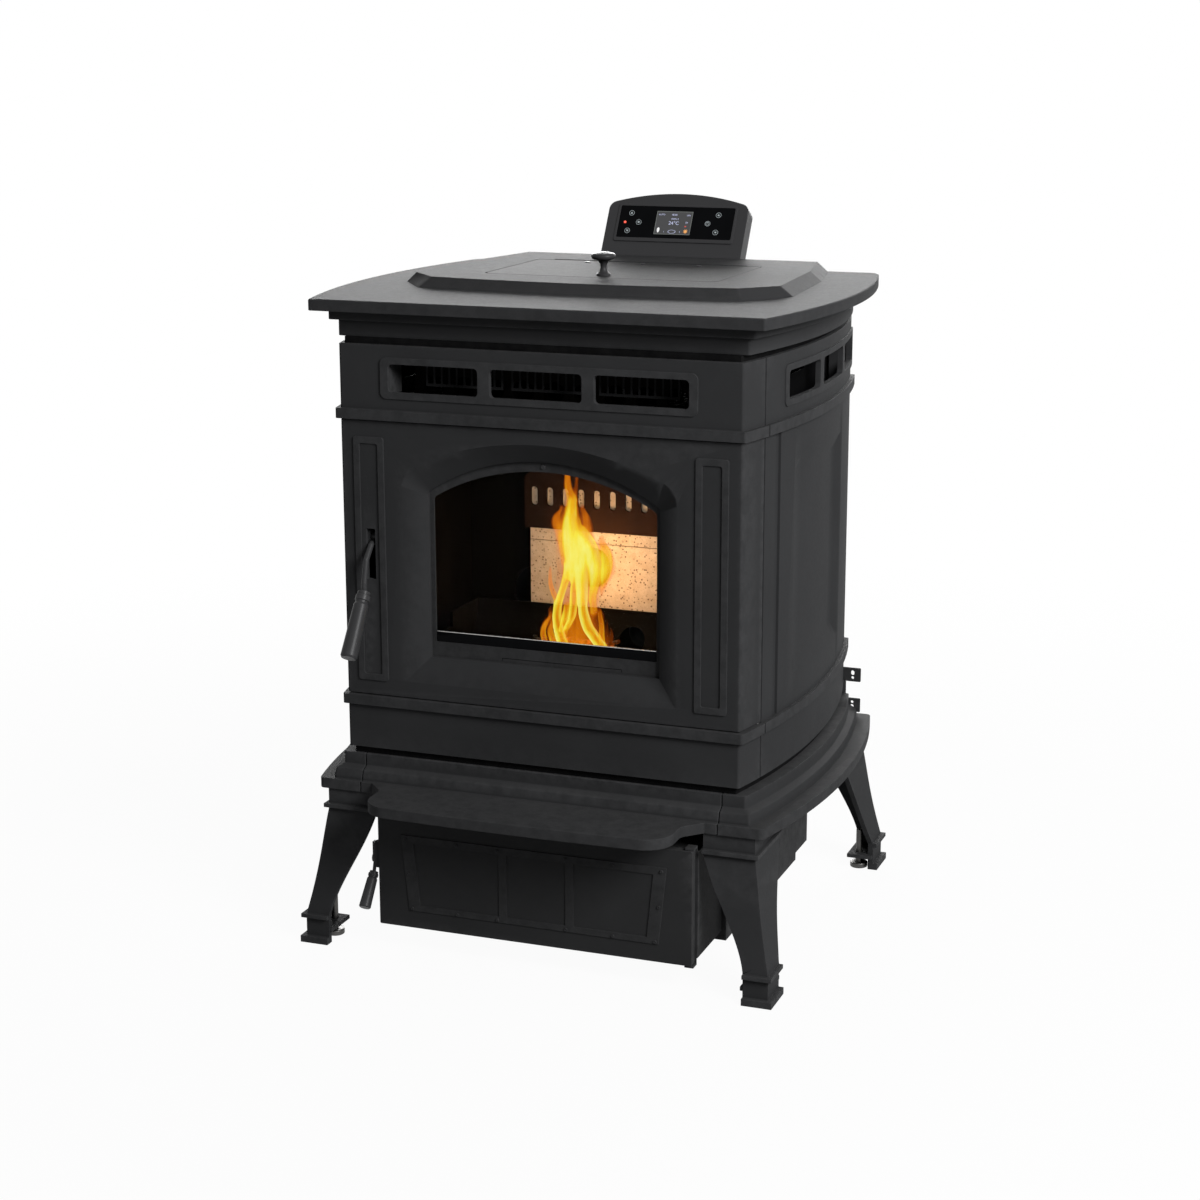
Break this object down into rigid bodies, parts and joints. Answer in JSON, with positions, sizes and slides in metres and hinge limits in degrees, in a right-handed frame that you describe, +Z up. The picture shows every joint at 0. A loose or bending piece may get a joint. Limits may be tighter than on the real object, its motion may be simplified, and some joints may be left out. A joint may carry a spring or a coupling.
{
  "type": "pellet stove",
  "caption": "Free-standing cast-iron pellet stove with an arched glass door, bowed sides, splayed legs, a top hopper lid and a tilted control console.",
  "frame": {"origin": "centre of the footprint on the floor", "axes": "+Z up, the front door faces -Y, +X to the right seen from the front"},
  "size_m": [0.7278, 0.7699, 1.0255],
  "materials": {
    "black_cast_iron": "matt black stove paint on cast iron",
    "black_sheet": "matt black powder coat",
    "black_handle": "satin black",
    "firebox_steel": "heat-stained dark steel",
    "zinc_sheet": "zinc-plated sheet",
    "bright_steel": "bare steel",
    "leveller_steel": "blackened steel",
    "motor_black": "black enamel",
    "flue_steel": "matt black flue paint",
    "firebrick": "porous tan firebrick",
    "door_glass": "clear ceramic glass",
    "rope_seal": "braided glass rope",
    "console_plastic": "fine textured black",
    "console_glass": "glossy black",
    "key_black": "glossy black keys",
    "circuit_board": "green board"
  },
  "bodies": {
    "root": {"air_intake_pipe": "flue_steel", "ash_lip_shelf": "black_cast_iron", "ash_pan": "zinc_sheet", "auger_gearmotor": "motor_black", "auger_tube": "firebox_steel", "baffle_plate": "firebox_steel", "base_casting_left": "black_cast_iron", "base_casting_right": "black_cast_iron", "blower_motors": "motor_black", "burn_trough": "firebox_steel", "cabinet_shell": "black_sheet", "console_glass": "console_glass", "console_shell": "console_plastic", "control_board": "circuit_board", "convection_blower": "zinc_sheet", "door_hinge_pins": "bright_steel", "exchanger_tubes": "firebox_steel", "exhaust_blower": "zinc_sheet", "firebox_shell": "firebox_steel", "firebricks": "firebrick", "flue_pipe": "flue_steel", "front_lower_band": "black_cast_iron", "front_upper_band": "black_cast_iron", "hopper_bin": "zinc_sheet", "hopper_deck": "black_cast_iron", "igniter": "bright_steel", "leg_front_left": "black_cast_iron", "leg_front_right": "black_cast_iron", "leg_rear_left": "black_cast_iron", "leg_rear_right": "black_cast_iron", "lower_cabinet": "black_sheet", "outlet_grille": "black_sheet", "power_inlet": "console_plastic", "rear_panel": "black_sheet", "side_casting_left": "black_cast_iron", "side_casting_right": "black_cast_iron", "top_plate": "black_cast_iron"},
    "door": {"door_casting": "black_cast_iron", "door_glass": "door_glass", "glass_frame": "black_sheet", "door_seal": "rope_seal"},
    "door_latch": {"door_latch_lever": "black_handle", "door_latch_grip": "black_handle"},
    "ash_door": {"ash_door": "black_sheet"},
    "ash_latch": {"ash_latch": "black_handle"},
    "lid": {"hopper_lid": "black_sheet", "lid_knob": "black_handle"},
    "auger": {"auger_screw": "bright_steel"},
    "impeller": {"exhaust_impeller": "bright_steel"},
    "drum": {"convection_wheel": "bright_steel"},
    "leveller_front_left": {"leveller_front_left": "leveller_steel"},
    "leveller_front_right": {"leveller_front_right": "leveller_steel"},
    "leveller_rear_left": {"leveller_rear_left": "leveller_steel"},
    "leveller_rear_right": {"leveller_rear_right": "leveller_steel"},
    "key_left_up": {"key_left_up": "key_black"},
    "key_mode": {"key_mode": "key_black"},
    "key_left_down": {"key_left_down": "key_black"},
    "key_right_up": {"key_right_up": "key_black"},
    "key_power": {"key_power": "key_black"},
    "key_right_down": {"key_right_down": "key_black"}
  },
  "joints": [
    {"name": "door_hinge", "type": "hinge", "parent": "root", "child": "door", "pos_m": [0.296, -0.216, 0.561], "axis": [0, 0, 1], "range_deg": [0, 90]},
    {"name": "door_latch_pivot", "type": "hinge", "parent": "door", "child": "door_latch", "pos_m": [-0.247, -0.25, 0.588], "axis": [-1, 0, 0], "range_deg": [0, 45]},
    {"name": "ash_door_hinge", "type": "hinge", "parent": "root", "child": "ash_door", "pos_m": [0.2285, -0.2885, 0.12], "axis": [0, 0, 1], "range_deg": [0, 95]},
    {"name": "ash_latch_pivot", "type": "hinge", "parent": "ash_door", "child": "ash_latch", "pos_m": [-0.2435, -0.286, 0.132], "axis": [-1, 0, 0], "range_deg": [0, 50]},
    {"name": "lid_hinge", "type": "hinge", "parent": "root", "child": "lid", "pos_m": [0, 0.1825, 0.931], "axis": [-1, 0, 0], "range_deg": [0, 100]},
    {"name": "auger_spin", "type": "hinge", "parent": "root", "child": "auger", "pos_m": [-0.008, -0.038, 0.519], "axis": [0, 0.9397, -0.342], "continuous": true},
    {"name": "impeller_spin", "type": "hinge", "parent": "root", "child": "impeller", "pos_m": [-0.105, 0.1765, 0.47], "axis": [0, 1, 0], "continuous": true},
    {"name": "drum_spin", "type": "hinge", "parent": "root", "child": "drum", "pos_m": [0, 0.095, 0.122], "axis": [1, 0, 0], "continuous": true},
    {"name": "leveller_front_left_travel", "type": "slide", "parent": "root", "child": "leveller_front_left", "axis": [0, 0, -1], "range_m": [0, 0.02]},
    {"name": "leveller_front_right_travel", "type": "slide", "parent": "root", "child": "leveller_front_right", "axis": [0, 0, -1], "range_m": [0, 0.02]},
    {"name": "leveller_rear_left_travel", "type": "slide", "parent": "root", "child": "leveller_rear_left", "axis": [0, 0, -1], "range_m": [0, 0.02]},
    {"name": "leveller_rear_right_travel", "type": "slide", "parent": "root", "child": "leveller_rear_right", "axis": [0, 0, -1], "range_m": [0, 0.02]},
    {"name": "key_left_up_press", "type": "slide", "parent": "root", "child": "key_left_up", "axis": [0, 0.8607, -0.509], "range_m": [0, 0.0005], "stiffness_N_per_m": 600},
    {"name": "key_mode_press", "type": "slide", "parent": "root", "child": "key_mode", "axis": [0, 0.8607, -0.509], "range_m": [0, 0.0005], "stiffness_N_per_m": 600},
    {"name": "key_left_down_press", "type": "slide", "parent": "root", "child": "key_left_down", "axis": [0, 0.8607, -0.509], "range_m": [0, 0.0005], "stiffness_N_per_m": 600},
    {"name": "key_right_up_press", "type": "slide", "parent": "root", "child": "key_right_up", "axis": [0, 0.8607, -0.509], "range_m": [0, 0.0005], "stiffness_N_per_m": 600},
    {"name": "key_power_press", "type": "slide", "parent": "root", "child": "key_power", "axis": [0, 0.8607, -0.509], "range_m": [0, 0.0005], "stiffness_N_per_m": 600},
    {"name": "key_right_down_press", "type": "slide", "parent": "root", "child": "key_right_down", "axis": [0, 0.8607, -0.509], "range_m": [0, 0.0005], "stiffness_N_per_m": 600}
  ]
}
